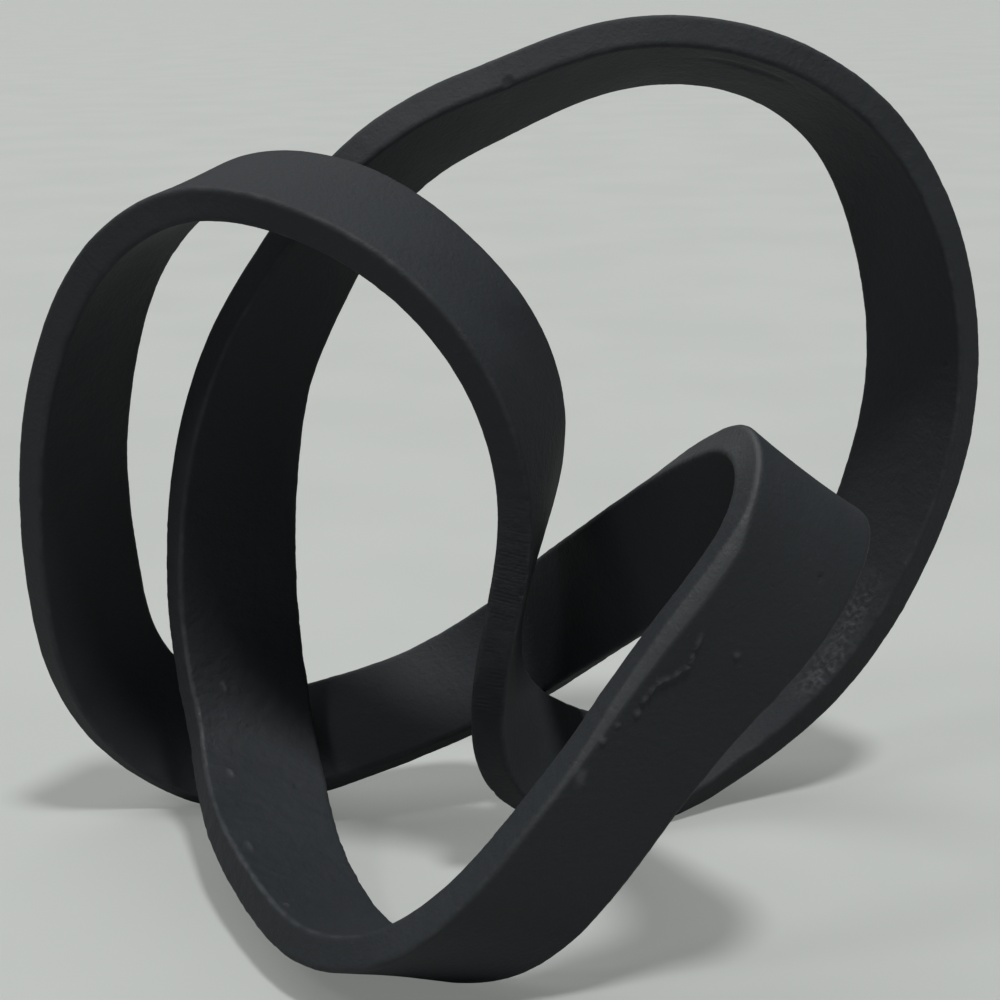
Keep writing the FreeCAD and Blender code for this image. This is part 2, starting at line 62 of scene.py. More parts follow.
# The path of the ribbon. A scratch program printed these rows, from pixels and depths read off the
# photograph by eye and from changes made by hand. Each place has its left-right, front-back and
# up-down position as a share of the path's box, then two angles in degrees that say where the broad
# side points (swing away from straight back, lift above the horizontal), then the broad side's width
# as a share of the ribbon's.
PATH_SHARES = [
    (-0.3534, +0.4615, 0.0268, 38, 42, 1.00),
    (-0.4573, +0.4327, 0.1104, 40, 28, 1.00),
    (-0.5000, +0.3558, 0.2851, 40, 14, 1.00),
    (-0.4956, +0.2788, 0.4785, 34, 8, 1.00),
    (-0.4579, +0.2019, 0.6575, 29, 3, 0.98),
    (-0.3999, +0.1346, 0.7760, 21, 1, 0.96),
    (-0.3036, +0.0769, 0.8478, 19, 9, 0.97),
    (-0.1811, +0.0288, 0.8353, 24, 17, 0.93),
    (-0.0804, -0.0192, 0.7679, 24, 16, 0.93),
    (-0.0071, -0.0385, 0.6687, 25, 15, 0.94),
    (+0.0274, +0.0000, 0.5221, 18, 13, 1.00),
    (+0.0114, +0.0385, 0.3825, 10, 13, 1.00),
    (-0.0082, +0.0750, 0.2531, 9, 20, 1.00),
    (+0.0026, +0.1404, 0.1445, 10, 36, 1.00),
    (+0.0586, +0.2365, 0.0698, 5, 46, 1.00),
    (+0.1460, +0.3462, 0.0279, -10, 38, 1.00),
    (+0.2374, +0.4327, 0.0455, -20, 24, 1.00),
    (+0.3632, +0.4808, 0.1478, -25, 15, 1.00),
    (+0.4513, +0.5000, 0.3163, -32, 8, 1.05),
    (+0.5000, +0.5000, 0.5533, -39, 0, 1.02),
    (+0.4628, +0.4904, 0.7854, -32, -10, 1.01),
    (+0.3933, +0.4808, 0.9120, -20, -14, 0.98),
    (+0.2566, +0.4519, 0.9944, -10, -18, 0.95),
    (+0.1472, +0.4327, 1.0000, -6, -23, 0.95),
    (+0.0651, +0.4038, 0.9775, -2, -26, 0.95),
    (-0.0126, +0.3750, 0.9401, 0, -29, 0.94),
    (-0.0848, +0.3365, 0.9014, 4, -32, 0.94),
    (-0.1614, +0.2981, 0.8316, 15, -32, 0.96),
    (-0.2276, +0.2885, 0.7280, 30, -27, 0.99),
    (-0.2795, +0.2837, 0.6132, 41, -18, 1.03),
    (-0.3074, +0.2904, 0.4941, 48, -10, 1.07),
    (-0.3207, +0.3087, 0.3509, 53, -6, 1.09),
    (-0.3190, +0.3163, 0.2251, 54, -5, 1.09),
    (-0.3017, +0.2606, 0.1152, 56, -6, 1.06),
    (-0.2660, +0.0288, 0.0428, 53, -10, 1.01),
    (-0.2139, -0.2019, 0.0106, 42, -15, 0.97),
    (-0.1554, -0.3606, 0.0000, 33, -21, 1.00),
    (-0.0908, -0.4375, 0.0143, 36, -30, 1.04),
    (-0.0181, -0.4760, 0.0605, 50, -36, 1.04),
    (+0.0531, -0.4904, 0.1522, 62, -33, 0.98),
    (+0.1193, -0.4952, 0.2639, 68, -28, 0.93),
    (+0.1794, -0.5000, 0.3637, 73, -27, 0.96),
    (+0.2309, -0.5000, 0.4423, 73, -28, 1.00),
    (+0.2675, -0.4712, 0.5097, 70, -30, 1.00),
    (+0.2784, -0.4231, 0.5471, 75, -34, 1.00),
    (+0.2719, -0.3654, 0.5577, 85, -38, 0.98),
    (+0.2467, -0.2692, 0.5340, 102, -38, 0.98),
    (+0.1980, -0.0865, 0.4610, 117, -42, 0.95),
    (+0.1360, +0.0798, 0.3724, 124, -46, 0.96),
    (+0.0748, +0.2837, 0.2734, 134, -50, 0.97),
    (-0.0004, +0.4058, 0.1804, 148, -52, 0.92),
    (-0.0792, +0.4135, 0.1263, 165, -51, 0.89),
    (-0.1651, +0.3798, 0.0918, 180, -50, 0.89),
    (-0.2484, +0.3731, 0.0627, 194, -49, 0.94),
]


class Metal(Enum):
    """The two kinds of metal, by the material slot that each takes its finish from."""

    CASTING = "coated_casting"
    WELD = "coated_weld"


class Side(Enum):
    """The sides that bear marks, as steps along the broad side and through the thickness."""

    FRONT = (0, 1)
    BACK = (0, -1)
    NEAR_EDGE = (-1, 0)


class Mark(Enum):
    """What a mark in the metal is like."""

    SMOOTH = 0
    RAGGED = 1
    FILED = 2
    GROUND = 3


class NodeWriter:
    """Writes the nodes of one tree: most methods add a node and give its output."""

    def __init__(self, tree: bpy.types.NodeTree) -> None:
        """Keep the tree that the nodes go in."""
        self.tree = tree

    def feed(self, socket: bpy.types.NodeSocket, value: Any) -> None:
        """Link or set one input.

        Args:
            socket: The input.
            value: An output to link from, or a plain value.
        """
        if isinstance(value, bpy.types.NodeSocket):
            self.tree.links.new(value, socket)
        else:
            socket.default_value = value

    def add(self, kind: str, inputs: dict[Any, Any] | None = None, **settings: Any) -> bpy.types.Node:
        """Add a node.

        Args:
            kind: The node's type.
            inputs: Values or outputs for its inputs, by name or index.
            settings: Values for its own properties.

        Returns:
            The node.
        """
        node = self.tree.nodes.new(kind)
        for name, value in settings.items():
            setattr(node, name, value)
        for name, value in (inputs or {}).items():
            self.feed(node.inputs[name], value)
        return node

    def math(self, operation: str, *values: Any) -> bpy.types.NodeSocket:
        """One step of arithmetic on numbers."""
        return self.add("ShaderNodeMath", dict(enumerate(values)), operation=operation).outputs[0]

    def vector(self, operation: str, *values: Any) -> bpy.types.NodeSocket:
        """One step of arithmetic on vectors that gives a vector."""
        node = self.add("ShaderNodeVectorMath", dict(enumerate(values)), operation=operation)
        return node.outputs["Vector"]

    def scaled(self, vector: Any, factor: Any) -> bpy.types.NodeSocket:
        """A vector times a number."""
        inputs = {0: vector, "Scale": factor}
        return self.add("ShaderNodeVectorMath", inputs, operation="SCALE").outputs["Vector"]

    def measure(self, operation: str, *values: Any) -> bpy.types.NodeSocket:
        """One step of arithmetic on vectors that gives a number."""
        node = self.add("ShaderNodeVectorMath", dict(enumerate(values)), operation=operation)
        return node.outputs["Value"]

    def noise(self, where: Any, per_metre: float, detail: float, rough: float = 0.5) -> Any:
        """Soft noise from 0 to 1, with so many lumps to the metre."""
        inputs = {"Vector": where, "Scale": per_metre, "Detail": detail, "Roughness": rough}
        return self.add("ShaderNodeTexNoise", inputs).outputs[0]

    def swing(self, where: Any, per_metre: float, detail: float, rough: float = 0.5) -> Any:
        """Soft noise from about -1 to 1."""
        value = self.noise(where, per_metre, detail, rough)
        return self.product(self.math("SUBTRACT", value, 0.5), 2.0)

    def ramp(self, value: Any, low: Any, high: Any, start: Any = 0.0, end: Any = 1.0) -> Any:
        """Smooth step from start to end while the value goes from low to high."""
        inputs = {0: value, 1: low, 2: high, 3: start, 4: end}
        node = self.add("ShaderNodeMapRange", inputs, interpolation_type="SMOOTHSTEP")
        return node.outputs[0]

    def combine(self, x: Any = 0.0, y: Any = 0.0, z: Any = 0.0) -> bpy.types.NodeSocket:
        """A vector from its parts."""
        return self.add("ShaderNodeCombineXYZ", {0: x, 1: y, 2: z}).outputs[0]

    def total(self, *values: Any) -> bpy.types.NodeSocket:
        """The sum of several numbers."""
        return reduce(partial(self.math, "ADD"), values)

    def product(self, *values: Any) -> bpy.types.NodeSocket:
        """The product of several numbers."""
        return reduce(partial(self.math, "MULTIPLY"), values)

    def parts(self, vector: Any) -> Any:
        """The three parts of a vector."""
        return self.add("ShaderNodeSeparateXYZ", {0: vector}).outputs

    def blend(self, share: Any, first: Any, second: Any) -> bpy.types.NodeSocket:
        """Mix two colours.

        Args:
            share: How much of the second colour there is.
            first: Colour as an output or three numbers.
            second: Colour as an output or three numbers.

        Returns:
            The mixed colour.
        """
        node = self.add("ShaderNodeMix", {0: share}, data_type="RGBA")
        for index, colour in ((6, first), (7, second)):
            plain = isinstance(colour, tuple)
            self.feed(node.inputs[index], (*colour, 1.0) if plain else colour)
        return node.outputs[2]

    def named(self, name: str, kind: str = "FLOAT") -> bpy.types.NodeSocket:
        """Read a stored attribute."""
        return self.add("GeometryNodeInputNamedAttribute", {"Name": name}, data_type=kind).outputs[0]

    def store(self, geometry: Any, name: str, value: Any, kind: str = "FLOAT") -> Any:
        """Store an attribute on the points."""
        inputs = {"Geometry": geometry, "Name": name, "Value": value}
        return self.add("GeometryNodeStoreNamedAttribute", inputs, data_type=kind).outputs[0]


def blank_material(name: str) -> tuple[bpy.types.Material, NodeWriter]:
    """A node material with nothing in it yet, and the writer of its tree."""
    finish = bpy.data.materials.new(name)
    finish.use_nodes = True
    finish.node_tree.nodes.clear()
    return finish, NodeWriter(finish.node_tree)


@dataclass(frozen=True)
class CoatedMetal:
    """Thin matt black coat over cast or welded metal, worn a little paler along the edges, with painted
    highlights.
    """

    name: str
    coat: tuple[float, float, float] = (0.0140, 0.0168, 0.0196)
    deep: tuple[float, float, float] = (0.0110, 0.0135, 0.0160)
    # The two paler colours below serve worn edges, specks and ground metal, and also paint highlights.
    rubbed_and_highlight: tuple[float, float, float] = (0.026, 0.029, 0.032)
    bared_and_highlight: tuple[float, float, float] = (0.048, 0.052, 0.055)
    roughness: float = 0.74
    gloss: float = 0.30
    grain_per_metre: float = 1150.0
    grain_height: float = 0.20 * MM
    grain_strength: float = 0.8
    clouds_per_metre: float = 55.0
    specks_per_metre: float = 1400.0
    rubs_per_metre: float = 260.0
    pits_per_metre: float = 620.0
    pit_depth: float = 0.4
    speck_share: float = 0.35
    bared_and_highlight_share: float = 0.7

    def material(self) -> bpy.types.Material:
        """Write the finish as a node material."""
        finish, write = blank_material(self.name)
        where = write.add("ShaderNodeTexCoord").outputs["Object"]
        # The two attributes read here carry painted highlights as well as worn and polished edges;
        # blending toward the paler colours paints those highlights.
        wear_and_highlight = write.add("ShaderNodeAttribute", attribute_name="edge_wear").outputs["Fac"]
        polish = write.add("ShaderNodeAttribute", attribute_name="polish").outputs["Fac"]
        clouds = write.noise(where, self.clouds_per_metre, 3.0)
        specks = write.ramp(write.noise(where, self.specks_per_metre, 2.0), 0.62, 0.78)
        patches = write.ramp(write.noise(where, self.rubs_per_metre, 3.0), 0.35, 0.7)
        rub_and_highlight = write.product(wear_and_highlight, patches)
        colour = write.blend(write.ramp(clouds, 0.3, 0.7), self.deep, self.coat)
        colour = write.blend(write.product(specks, self.speck_share), colour, self.rubbed_and_highlight)
        colour = write.blend(write.math("MAXIMUM", rub_and_highlight, polish), colour, self.rubbed_and_highlight)
        bright = write.product(write.ramp(polish, 0.5, 1.5), self.bared_and_highlight_share)
        colour = write.blend(bright, colour, self.bared_and_highlight)
        rough = write.ramp(clouds, 0.25, 0.75, self.roughness - 0.04, self.roughness + 0.06)
        worn = write.total(write.product(rub_and_highlight, 0.10), write.product(polish, 0.20))
        rough = write.math("SUBTRACT", rough, worn)
        grain = write.noise(where, self.grain_per_metre, 3.0, 0.6)
        pits = write.ramp(write.noise(where, self.pits_per_metre, 2.0), 0.66, 0.80, 0.0, -1.0)
        height = write.total(grain, write.product(pits, self.pit_depth))
        bump = write.add(
            "ShaderNodeBump",
            {"Height": height, "Distance": self.grain_height, "Strength": self.grain_strength},
        )
        shader = write.add(
            "ShaderNodeBsdfPrincipled",
            {"Base Color": colour, "Roughness": rough, "Normal": bump.outputs[0]},
        )
        shader.inputs["Specular IOR Level"].default_value = self.gloss
        write.add("ShaderNodeOutputMaterial", {"Surface": shader.outputs[0]})
        return finish


@dataclass(frozen=True)
class PaleFloor:
    """Plain pale floor with a faint unevenness, its shadows kept light to the camera."""

    name: str = "pale_floor"
    light: tuple[float, float, float] = (0.37, 0.385, 0.37)
    dark: tuple[float, float, float] = (0.35, 0.365, 0.352)
    lit: tuple[float, float, float] = (0.51, 0.53, 0.51)
    lit_share: float = 0.34
    roughness: float = 0.75
    clouds_per_metre: float = 9.0

    def material(self) -> bpy.types.Material:
        """Write the floor as a node material."""
        finish, write = blank_material(self.name)
        where = write.add("ShaderNodeTexCoord").outputs["Object"]
        clouds = write.ramp(write.noise(where, self.clouds_per_metre, 4.0), 0.35, 0.65)
        colour = write.blend(clouds, self.light, self.dark)
        shader = write.add(
            "ShaderNodeBsdfPrincipled", {"Base Color": colour, "Roughness": self.roughness}
        )
        pale = write.add("ShaderNodeEmission", {"Color": (*self.lit, 1.0), "Strength": 1.0})
        seen = write.add("ShaderNodeLightPath").outputs["Is Camera Ray"]
        share = write.product(seen, self.lit_share)
        mixed = write.add("ShaderNodeMixShader", {0: share, 1: shader.outputs[0], 2: pale.outputs[0]})
        write.add("ShaderNodeOutputMaterial", {"Surface": mixed.outputs[0]})
        return finish


class ClosedSpline:
    """Smooth closed curve through values at rising knots, the last knot being the first again."""

    def __init__(self, knots: np.ndarray, values: np.ndarray) -> None:
        """Work out the bend at every knot.

        Args:
            knots: Where the values are reached, and the length of a lap at the end.
            values: One row of numbers for each knot but the last.
        """
        self.knots = knots
        self.values = values
        steps = np.diff(knots)
        count = len(values)
        slopes = (np.roll(values, -1, axis=0) - values) / steps[:, None]
        matrix = np.zeros((count, count))
        for row in range(count):
            before, after = steps[row - 1], steps[row]
            matrix[row, row - 1] += before
            matrix[row, row] += 2 * (before + after)
            matrix[row, (row + 1) % count] += after
        self.bends = np.linalg.solve(matrix, 6 * (slopes - np.roll(slopes, 1, axis=0)))

    def span(self, at: np.ndarray) -> tuple[np.ndarray, ...]:
        """The knots around each place, the way to both, and the length between them."""
        at = np.mod(at, self.knots[-1])
        index = np.clip(np.searchsorted(self.knots, at, side="right") - 1, 0, len(self.values) - 1)
        step = self.knots[index + 1] - self.knots[index]
        after = (at - self.knots[index])[:, None]
        return index, (index + 1) % len(self.values), step[:, None], step[:, None] - after, after

    def value(self, at: np.ndarray) -> np.ndarray:
        """The curve at some places."""
        first, second, step, before, after = self.span(at)
        bend_1, bend_2 = self.bends[first], self.bends[second]
        result = (bend_1 * before**3 + bend_2 * after**3) / (6 * step)
        result += (self.values[first] / step - bend_1 * step / 6) * before
        return result + (self.values[second] / step - bend_2 * step / 6) * after

    def slope(self, at: np.ndarray) -> np.ndarray:
        """The curve's slope at some places."""
        first, second, step, before, after = self.span(at)
        bend_1, bend_2 = self.bends[first], self.bends[second]
        result = (bend_2 * after**2 - bend_1 * before**2) / (2 * step)
        result -= self.values[first] / step - bend_1 * step / 6
        return result + self.values[second] / step - bend_2 * step / 6


@dataclass
class Rings:
    """Cross sections of the ribbon in a row: their middles, directions and half widths."""

    middle: np.ndarray
    side: np.ndarray
    face: np.ndarray
    run: np.ndarray
    half_width: np.ndarray

    def surface(self, across: float, through: float, half_thickness: float) -> np.ndarray:
        """Points at a share of the half width and of the half thickness."""
        offset = self.side * (self.half_width * across)[:, None]
        return self.middle + offset + self.face * (half_thickness * through)


@dataclass
class RibbonPath:
    """The path of the whole ribbon, in metres, as it stands on its three feet."""

    box: tuple[float, float, float] = (182.8 * MM, 104.0 * MM, 160.3 * MM)
    ribbon_width: float = 26.0 * MM
    ribbon_thickness: float = 6.8 * MM
    edge_radius: float = 1.0 * MM
    # The turn in degrees and the shift that set the path on its feet, as a scratch program printed them.
    lean: tuple[float, float] = (-0.580, 0.981)
    stand: tuple[float, float, float] = (-1.20 * MM, -3.35 * MM, 6.44 * MM)
    curves: dict[str, ClosedSpline] = field(default_factory=dict)
    knots: np.ndarray = field(default_factory=lambda: np.zeros(0))

    def __post_init__(self) -> None:
        """Draw the middle line, the side direction over two laps, and the width."""
        rows = np.array(PATH_SHARES)
        points = rows[:, :3] * self.box
        swing, lift = np.radians(rows[:, 3]), np.radians(rows[:, 4])
        flat = np.cos(lift)
        sides = np.stack([flat * np.sin(swing), flat * np.cos(swing), np.sin(lift)], axis=1)
        lean_x, lean_y = (math.radians(angle) for angle in self.lean)
        turn = np.array(Matrix.Rotation(lean_y, 3, "Y") @ Matrix.Rotation(lean_x, 3, "X"))
        points = points @ turn.T + self.stand
        sides = sides @ turn.T
        chords = np.linalg.norm(np.roll(points, -1, axis=0) - points, axis=1)
        self.knots = np.concatenate([[0.0], np.cumsum(chords)])
        two_laps = np.concatenate([self.knots, self.knots[-1] + self.knots[1:]])
        self.curves = {
            "middle": ClosedSpline(self.knots, points),
            "side": ClosedSpline(two_laps, np.concatenate([sides, -sides])),
            "width": ClosedSpline(self.knots, rows[:, 5:6]),
        }

    def distance(self, place: float) -> float:
        """Distance along the path of a place given in rows of the table."""
        laps, rest = divmod(place, len(PATH_SHARES))
        row = int(rest)
        start, end = self.knots[row], self.knots[row + 1]
        return laps * self.knots[-1] + start + (rest - row) * (end - start)

    def rings(self, distances: np.ndarray) -> Rings:
        """Cross sections at some distances along the path.

        Args:
            distances: Distances in metres.

        Returns:
            The cross sections.
        """
        middle = self.curves["middle"].value(distances)
        run = self.curves["middle"].slope(distances)
        run /= np.linalg.norm(run, axis=1)[:, None]
        side = self.curves["side"].value(distances)
        side -= run * (side * run).sum(axis=1)[:, None]
        side /= np.linalg.norm(side, axis=1)[:, None]
        half_width = self.curves["width"].value(distances)[:, 0] * self.ribbon_width / 2
        return Rings(middle, side, np.cross(run, side), run, half_width)


@dataclass(frozen=True)
class MetalMark:
    """A bump, pit, scar or patch of tool marks at one place of the ribbon."""

    kind: Mark
    place: float
    side: Side
    offset: float
    radius: float
    relief: float
    stretch: float = 1.0
    turn: float = 0.0

    def seat(self, path: RibbonPath) -> dict[str, tuple[float, ...]]:
        """Where the mark is and how it lies.

        Args:
            path: Path of the ribbon.

        Returns:
            Its point, outward direction, long direction and sizes.
        """
        rings = path.rings(np.array([path.distance(self.place)]))
        across, through = self.side.value
        half_thickness = path.ribbon_thickness / 2
        if across:
            point = rings.surface(across, self.offset, half_thickness)[0]
            outward = rings.side[0] * across
        else:
            point = rings.surface(self.offset, through, half_thickness)[0]
            outward = rings.face[0] * through
        angle = math.radians(self.turn)
        beside = np.cross(outward, rings.run[0])
        long_way = rings.run[0] * math.cos(angle) + beside * math.sin(angle)
        return {
            "point": tuple(point),
            "mark_out": tuple(outward),
            "mark_way": tuple(long_way),
            "mark_size": (self.radius * MM, self.stretch, self.relief * MM),
            "mark_kind": (float(self.kind.value), 0.0, 0.0),
        }


@dataclass(frozen=True)
class Scar:
    """A thin raised line that winds over one broad side of the ribbon."""

    side: Side
    points: tuple[tuple[float, float], ...]
    half_width: float = 0.55
    relief: float = 0.52
    overlap: float = 1.15
    rounding: float = 0.45

    def seats(self, path: RibbonPath) -> list[dict[str, tuple[float, ...]]]:
        """The ridges that follow each other along the line.

        Args:
            path: Path of the ribbon.

        Returns:
            What MetalMark.seat gives, for each ridge.
        """
        ends = [
            MetalMark(Mark.SMOOTH, place, self.side, offset, self.half_width, self.relief).seat(path)
            for place, offset in self.points
        ]
        ridges = []
        for first, second in zip(ends, ends[1:]):
            start, end = Vector(first["point"]), Vector(second["point"])
            half_length = (end - start).length / 2
            stretch = self.overlap * half_length / (self.half_width * MM) + self.rounding
            ridges.append(
                {
                    **first,
                    "point": tuple((start + end) / 2),
                    "mark_way": tuple((end - start).normalized()),
                    "mark_size": (self.half_width * MM, stretch, self.relief * MM),
                }
            )
        return ridges


# Marks seen in the photograph, each with its kind, its place in rows of the path, its side, its
# offset as a share of the half width, or of the half thickness on an edge, its radius and its
# relief in millimetres, how much longer it is than wide, and its turn in degrees from the run. Most
# places and offsets are those that a scratch program printed for pixels picked by eye.
MARKS = [
    MetalMark(Mark.SMOOTH, 40.54, Side.BACK, -0.64, 1.0, 0.36),
    MetalMark(Mark.RAGGED, 40.36, Side.BACK, -0.80, 0.9, 0.22),
    MetalMark(Mark.SMOOTH, 40.18, Side.BACK, -0.85, 1.0, 0.32),
    MetalMark(Mark.RAGGED, 39.80, Side.BACK, -0.80, 1.6, 0.16, 1.8, 30.0),
    MetalMark(Mark.SMOOTH, 41.54, Side.BACK, 0.04, 0.9, 0.34),
    MetalMark(Mark.SMOOTH, 42.78, Side.BACK, 0.41, 0.8, -0.30),
    MetalMark(Mark.SMOOTH, 19.18, Side.FRONT, -0.69, 0.9, -0.35),
    MetalMark(Mark.SMOOTH, 24.88, Side.NEAR_EDGE, 0.8, 1.6, -0.50),
    MetalMark(Mark.RAGGED, 32.49, Side.FRONT, -0.46, 0.8, 0.26, 2.4, 10.0),
    MetalMark(Mark.RAGGED, 33.62, Side.FRONT, -0.57, 0.9, 0.30, 2.2, 20.0),
    MetalMark(Mark.RAGGED, 33.71, Side.FRONT, 0.48, 0.8, -0.30, 1.4),
    MetalMark(Mark.RAGGED, 34.55, Side.FRONT, -0.70, 1.1, 0.35, 2.6),
    MetalMark(Mark.RAGGED, 35.49, Side.FRONT, -0.77, 0.9, 0.30, 1.4),
    MetalMark(Mark.FILED, 10.8, Side.NEAR_EDGE, 0.0, 6.0, 0.12, 3.2),
    MetalMark(Mark.FILED, 12.0, Side.NEAR_EDGE, 0.0, 6.0, 0.13, 3.2),
    MetalMark(Mark.SMOOTH, 10.95, Side.NEAR_EDGE, 0.9, 0.8, -0.35),
    MetalMark(Mark.SMOOTH, 12.91, Side.NEAR_EDGE, -0.88, 0.9, -0.40),
    MetalMark(Mark.SMOOTH, 13.22, Side.NEAR_EDGE, -0.92, 0.9, -0.40),
    MetalMark(Mark.GROUND, 17.15, Side.FRONT, -0.72, 6.5, 0.22, 2.2),
    MetalMark(Mark.GROUND, 17.6, Side.FRONT, -0.55, 6.0, 0.14, 2.4),
    MetalMark(Mark.FILED, 32.8, Side.FRONT, 0.45, 6.0, 0.09, 1.4),
    MetalMark(Mark.SMOOTH, 21.9, Side.FRONT, -0.50, 2.0, -0.35, 7.0),
]

# The wavy scar on the front strand, from its upper end down, in rows of the path and shares of the
# half width, found in the same way.
SCARS = [
    Scar(
        Side.BACK,
        (
            (41.55, -0.58), (41.32, -0.50), (41.17, -0.41), (41.10, -0.47), (40.96, -0.53),
            (40.90, -0.63), (40.84, -0.66), (40.72, -0.67), (40.64, -0.69),
        ),
    ),
]


class RibbonSkin:
    """Geometry nodes that sweep the ribbon's section along a row of rings and work its surface."""

    NAME = "ribbon_skin"
    INPUTS = (
        ("Ribbon Width", "NodeSocketFloat"),
        ("Ribbon Thickness", "NodeSocketFloat"),
        ("Edge Radius", "NodeSocketFloat"),
        ("Points Round", "NodeSocketInt"),
        ("Lump Height", "NodeSocketFloat"),
        ("Grain Height", "NodeSocketFloat"),
        ("Coarse Height", "NodeSocketFloat"),
        ("Edge Wave", "NodeSocketFloat"),
        ("Seed", "NodeSocketFloat"),
        ("Marks", "NodeSocketObject"),
        ("Finish", "NodeSocketMaterial"),
    )
    HELPERS = (
        "outline", "middle", "side", "face", "half_width", "along", "dress", "coarse", "sink",
        "soft_radius", "corner_shine", "edge_shine",
    )
    CORNER_POINTS = 8
    LEAST_LENGTH = 0.1 * MM
    # How far into a rounded corner its painted highlight reaches.
    POLISH_HIGHLIGHT_DEPTH = 0.25 * MM
    RAGGED_PER_METRE = 620.0
    RAGGED_SHARE = 0.45
    STROKES_PER_METRE = 6600.0
    WOBBLES_PER_METRE = 240.0
    STROKE_WOBBLE = 7.0
    GRIT_PER_METRE = 560.0
    GRIT_PULL = 0.25
    GRIT_SHINE = 0.9
    LONG_WAVES_PER_METRE = 42.0
    SHORT_WAVES_PER_METRE = 210.0
    SHORT_WAVE_SHARE = 0.45
    EDGES_APART = 0.7
    LUMPS_PER_METRE = 70.0
    ROUGH_PLACES_PER_METRE = 36.0
    GRAINS_PER_METRE = 640.0
    COARSE_PER_METRE = 330.0
    PLAIN_WEAR = 0.6
    # Strength of the painted highlight beads along the front corner.
    BEAD_HIGHLIGHT = 0.3

    def __init__(self) -> None:
        """Write the tree."""
        self.tree = bpy.data.node_groups.new(self.NAME, "GeometryNodeTree")
        face = self.tree.interface
        face.new_socket("Geometry", in_out="INPUT", socket_type="NodeSocketGeometry")
        for name, kind in self.INPUTS:
            face.new_socket(name, in_out="INPUT", socket_type=kind)
        face.new_socket("Geometry", in_out="OUTPUT", socket_type="NodeSocketGeometry")
        self.write = NodeWriter(self.tree)
        self.given = self.write.add("NodeGroupInput").outputs
        self.build()

    def section(self) -> bpy.types.NodeSocket:
        """The rounded outline of a section, with its own points stored on it."""
        write, given = self.write, self.given
        outline = write.add(
            "GeometryNodeCurvePrimitiveQuadrilateral",
            {"Width": given["Ribbon Width"], "Height": given["Ribbon Thickness"]},
        ).outputs[0]
        rounded = write.add(
            "GeometryNodeFilletCurve",
            {"Curve": outline, "Radius": given["Edge Radius"], "Count": self.CORNER_POINTS},
            mode="POLY",
        ).outputs[0]
        even = write.add(
            "GeometryNodeResampleCurve",
            {"Curve": rounded, "Count": given["Points Round"]},
            mode="COUNT",
        ).outputs[0]
        where = write.add("GeometryNodeInputPosition").outputs[0]
        return write.store(even, "outline", where, "FLOAT_VECTOR")

    def stretched(self, value: Any, half: Any, local_half: Any) -> tuple[Any, Any]:
        """Fit one side of the outline to a section, with the corners' rounding kept.

        Args:
            value: Position along that side of the outline.
            half: Half of the outline's side.
            local_half: Half of the section's side.

        Returns:
            The fitted position and the part of the outward direction along that side.
        """
        write = self.write
        radius = self.given["Edge Radius"]
        inner = write.math("SUBTRACT", half, radius)
        flat = write.math("MINIMUM", write.math("MAXIMUM", value, write.product(inner, -1.0)), inner)
        beyond = write.math("SUBTRACT", value, flat)
        share = write.math("DIVIDE", write.math("SUBTRACT", local_half, radius), inner)
        fitted = write.total(write.product(flat, share), beyond)
        return fitted, write.math("DIVIDE", beyond, radius)

    def softened(self, outline: Any, across: Any, through: Any, half_width: Any,
                 half_thickness: Any) -> tuple[Any, Any, Any]:
        """Rub down the corner between the near edge and the back face where the rings ask for it, and
        paint a highlight along it.

        Args:
            outline: The point's own place on the outline, as three parts.
            across: Position along the broad side.
            through: Position through the thickness.
            half_width: Half of the section's broad side.
            half_thickness: Half of its thickness.

        Returns:
            Both positions with the corner rounded to the rings' own radius, and how far it is polished
            and painted as a highlight.
        """
        write = self.write
        radius = write.math("MAXIMUM", write.named("soft_radius"), self.given["Edge Radius"])
        beyond = []
        for value, half in ((across, half_width), (through, half_thickness)):
            flat = write.math("SUBTRACT", half, radius)
            size = write.math("SUBTRACT", write.math("ABSOLUTE", value), flat)
            beyond.append(write.math("MAXIMUM", size, 0.0))
        length = write.measure("LENGTH", write.combine(beyond[0], beyond[1]))
        excess = write.math("MAXIMUM", write.math("SUBTRACT", length, radius), 0.0)
        inward = write.math("DIVIDE", excess, write.math("MAXIMUM", length, self.LEAST_LENGTH))
        on_corner = write.math("LESS_THAN", outline[0], 0.0)
        on_corner = write.product(on_corner, write.math("LESS_THAN", outline[1], 0.0))
        inward = write.product(inward, on_corner)
        # The rounded corner is painted paler as a highlight ridge, besides being smoother.
        polish = write.product(on_corner, write.ramp(excess, 0.0, self.POLISH_HIGHLIGHT_DEPTH))
        across = write.total(across, write.product(beyond[0], inward))
        through = write.total(through, write.product(beyond[1], inward))
        return across, through, polish

    def marks(self, where: Any, outward: Any) -> tuple[Any, Any]:
        """Relief of all the marks together, at each point of the skin.

        Args:
            where: Position of the point.
            outward: Outward direction there.

        Returns:
            Height in metres, and how far ground metal is laid bare there, with painted highlight on the
            tops of raised marks.
        """
        write = self.write
        info = write.add("GeometryNodeObjectInfo", {"Object": self.given["Marks"]})
        marks = info.outputs["Geometry"]
        size = write.add("GeometryNodeAttributeDomainSize", {"Geometry": marks})
        start = write.add("GeometryNodeRepeatInput")
        end = write.add("GeometryNodeRepeatOutput")
        start.pair_with_output(end)
        end.repeat_items.clear()
        end.repeat_items.new("FLOAT", "Relief")
        end.repeat_items.new("FLOAT", "Bared")
        write.feed(start.inputs["Iterations"], size.outputs["Point Count"])
        turn = start.outputs["Iteration"]

        def sample(value: Any) -> bpy.types.NodeSocket:
            """One vector of the mark whose turn it is."""
            inputs = {"Geometry": marks, "Value": value, "Index": turn}
            return write.add("GeometryNodeSampleIndex", inputs, data_type="FLOAT_VECTOR").outputs[0]

